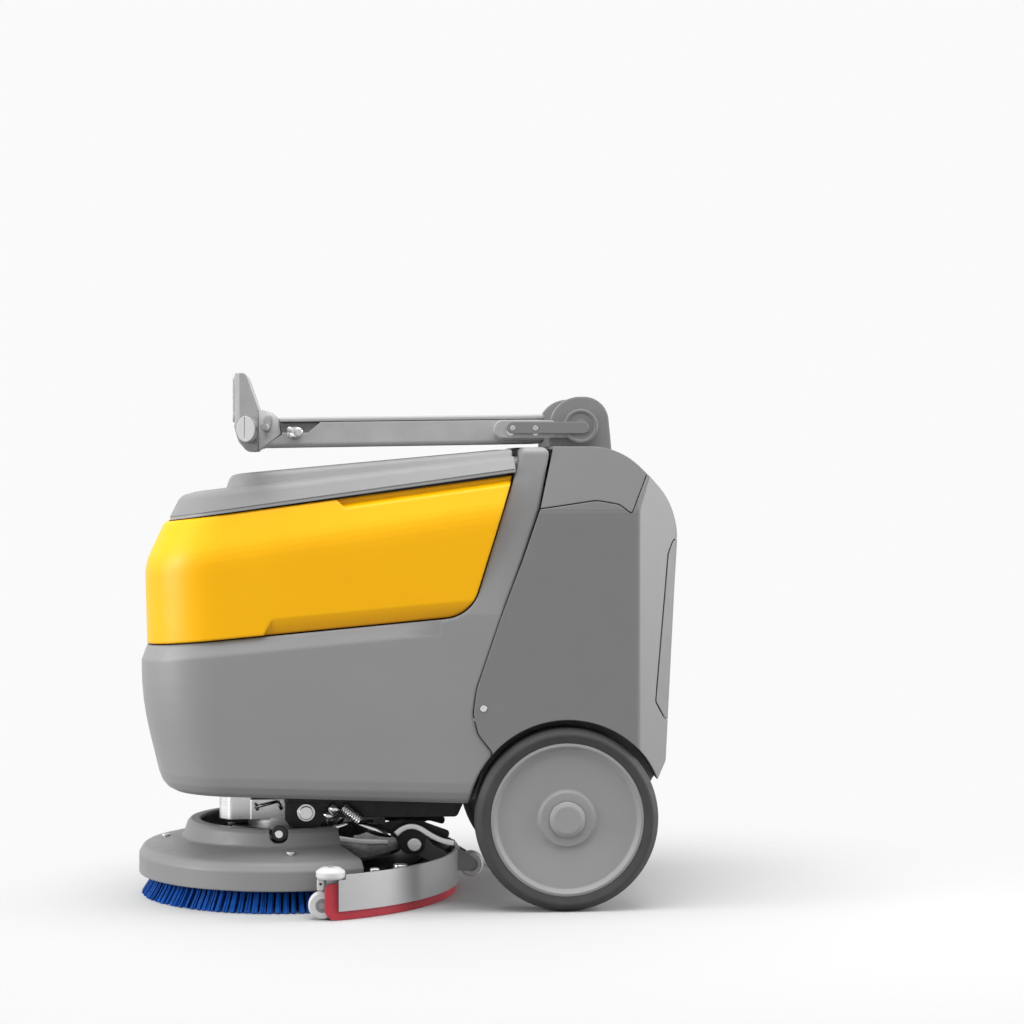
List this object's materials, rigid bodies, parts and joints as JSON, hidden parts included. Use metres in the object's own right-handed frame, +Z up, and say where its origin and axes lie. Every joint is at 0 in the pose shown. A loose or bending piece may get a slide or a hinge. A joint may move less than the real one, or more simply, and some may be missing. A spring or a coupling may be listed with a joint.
{
  "type": "walk-behind floor scrubber",
  "caption": "Compact walk-behind floor scrubber with stacked tanks, a round brush deck, a curved squeegee on rollers, two large wheels and a handle that folds forward over the lid.",
  "frame": {"origin": "centre of the overall box, on the floor", "axes": "+Z up, -X towards the machine's front, +Y towards its right side"},
  "size_m": [0.689, 0.502, 0.675],
  "materials": {
    "grey_body": "satin",
    "grey_shell": "satin",
    "grey_light": "satin",
    "yellow_tank": "satin",
    "grey_dark": "satin",
    "deck_grey": "satin",
    "hub_grey": "satin",
    "tyre": "matte",
    "black_steel": "satin",
    "black_plastic": "satin",
    "steel": "brushed",
    "aluminium": "satin",
    "seal_rubber": "matte",
    "red_blade": "satin",
    "blue_bristle": "satin",
    "white_roller": "satin"
  },
  "bodies": {
    "machine": {"solution_tank": "grey_body", "recovery_tank": "yellow_tank", "lid_seal": "seal_rubber", "rear_shell": "grey_shell", "top_cap": "grey_shell", "service_hatch": "grey_shell", "pivot_bracket": "grey_dark", "chassis": "black_steel", "axle": "steel", "batteries": "black_plastic", "suction_motor": "black_plastic", "control_unit": "black_plastic", "solution_valve": "black_plastic", "shell_screws": "steel", "yoke_bolts": "steel", "lid_hinge_pins": "steel"},
    "lid_body": {"lid": "grey_light"},
    "left_wheel": {"left_tyre": "tyre", "left_hub": "hub_grey", "left_hub_cap": "hub_grey"},
    "right_wheel": {"right_tyre": "tyre", "right_hub": "hub_grey", "right_hub_cap": "hub_grey"},
    "handle": {"handle_arm": "grey_light", "arm_cover": "grey_light", "link_bars": "grey_light", "link_screws": "steel", "pivot_shaft": "steel", "head_housing": "grey_light", "console": "grey_light", "control_panel": "grey_dark", "grip_bars": "grey_dark", "grip_caps": "grey_dark"},
    "trigger_left": {"left_trigger": "grey_light"},
    "trigger_right": {"right_trigger": "grey_light"},
    "lever": {"lift_lever": "grey_light"},
    "button_brush": {"brush_button": "grey_dark"},
    "button_suction": {"suction_button": "grey_dark"},
    "button_water": {"water_button": "grey_dark"},
    "deck": {"deck_cover": "deck_grey", "deck_plate": "black_steel", "deck_screws": "steel", "pull_rod": "black_steel", "gearbox": "aluminium", "brush_motor": "black_plastic"},
    "brush": {"brush_plate": "black_plastic", "brush_bristles": "blue_bristle"},
    "swivel": {"swivel_ring": "black_steel"},
    "lift_arm": {"squeegee_arm": "black_steel", "tilt_bolts": "steel"},
    "squeegee": {"squeegee_frame": "black_plastic", "squeegee_strip": "aluminium", "squeegee_blades": "red_blade", "squeegee_knobs": "black_plastic"},
    "bumper_left": {"left_bumper_roller": "white_roller"},
    "bumper_right": {"right_bumper_roller": "white_roller"},
    "support_left": {"left_support_wheel": "white_roller"},
    "support_right": {"right_support_wheel": "white_roller"},
    "rear_wheel": {"rear_roller": "white_roller"}
  },
  "joints": [
    {"name": "handle_fold", "type": "hinge", "parent": "machine", "child": "handle", "pos_m": [0.224, 0, 0.607], "axis": [0, 1, 0], "range_deg": [0, 157]},
    {"name": "left_trigger_pull", "type": "hinge", "parent": "handle", "child": "trigger_left", "pos_m": [-0.174, -0.078, 0.616], "axis": [0, 1, 0], "range_deg": [0, 16], "stiffness_Nm_per_rad": 0.5},
    {"name": "right_trigger_pull", "type": "hinge", "parent": "handle", "child": "trigger_right", "pos_m": [-0.174, 0.078, 0.616], "axis": [0, 1, 0], "range_deg": [0, 16], "stiffness_Nm_per_rad": 0.5},
    {"name": "lever_turn", "type": "hinge", "parent": "handle", "child": "lever", "pos_m": [-0.1395, -0.1, 0.599], "axis": [0, 1, 0], "range_deg": [0, 75]},
    {"name": "lid_open", "type": "hinge", "parent": "machine", "child": "lid_body", "pos_m": [0.1395, 0, 0.562], "axis": [0, 1, 0], "range_deg": [0, 4]},
    {"name": "left_wheel_roll", "type": "hinge", "parent": "machine", "child": "left_wheel", "pos_m": [0.199, -0.178, 0.115], "axis": [0, 1, 0], "continuous": true},
    {"name": "right_wheel_roll", "type": "hinge", "parent": "machine", "child": "right_wheel", "pos_m": [0.199, 0.178, 0.115], "axis": [0, 1, 0], "continuous": true},
    {"name": "deck_tilt", "type": "hinge", "parent": "machine", "child": "deck", "pos_m": [-0.127, 0, 0.113], "axis": [0, 1, 0], "range_deg": [-2, 2]},
    {"name": "brush_spin", "type": "hinge", "parent": "deck", "child": "brush", "pos_m": [-0.1515, 0, 0.05], "axis": [0, 0, 1], "continuous": true},
    {"name": "squeegee_swing", "type": "hinge", "parent": "deck", "child": "swivel", "pos_m": [-0.1515, 0, 0.072], "axis": [0, 0, 1], "range_deg": [-15, 15]},
    {"name": "squeegee_lift", "type": "hinge", "parent": "swivel", "child": "lift_arm", "pos_m": [-0.072, 0, 0.08], "axis": [0, -1, 0], "range_deg": [0, 8]},
    {"name": "squeegee_pitch", "type": "hinge", "parent": "lift_arm", "child": "squeegee", "pos_m": [0.012, 0, 0.067], "axis": [0, 1, 0], "range_deg": [-2, 2]},
    {"name": "left_bumper_turn", "type": "hinge", "parent": "squeegee", "child": "bumper_left", "pos_m": [-0.096, -0.233, 0.063], "axis": [0, 0, 1], "continuous": true},
    {"name": "right_bumper_turn", "type": "hinge", "parent": "squeegee", "child": "bumper_right", "pos_m": [-0.096, 0.233, 0.063], "axis": [0, 0, 1], "continuous": true},
    {"name": "left_support_roll", "type": "hinge", "parent": "squeegee", "child": "support_left", "pos_m": [-0.106, -0.2285, 0.0175], "axis": [0, 1, 0], "continuous": true},
    {"name": "right_support_roll", "type": "hinge", "parent": "squeegee", "child": "support_right", "pos_m": [-0.106, 0.2285, 0.0175], "axis": [0, 1, 0], "continuous": true},
    {"name": "rear_roller_roll", "type": "hinge", "parent": "squeegee", "child": "rear_wheel", "pos_m": [0.089, 0, 0.031], "axis": [0, 1, 0], "continuous": true},
    {"name": "brush_press", "type": "slide", "parent": "handle", "child": "button_brush", "axis": [1, 0, 0], "range_m": [0, 0.002], "stiffness_N_per_m": 800},
    {"name": "suction_press", "type": "slide", "parent": "handle", "child": "button_suction", "axis": [1, 0, 0], "range_m": [0, 0.002], "stiffness_N_per_m": 800},
    {"name": "water_press", "type": "slide", "parent": "handle", "child": "button_water", "axis": [1, 0, 0], "range_m": [0, 0.002], "stiffness_N_per_m": 800}
  ]
}
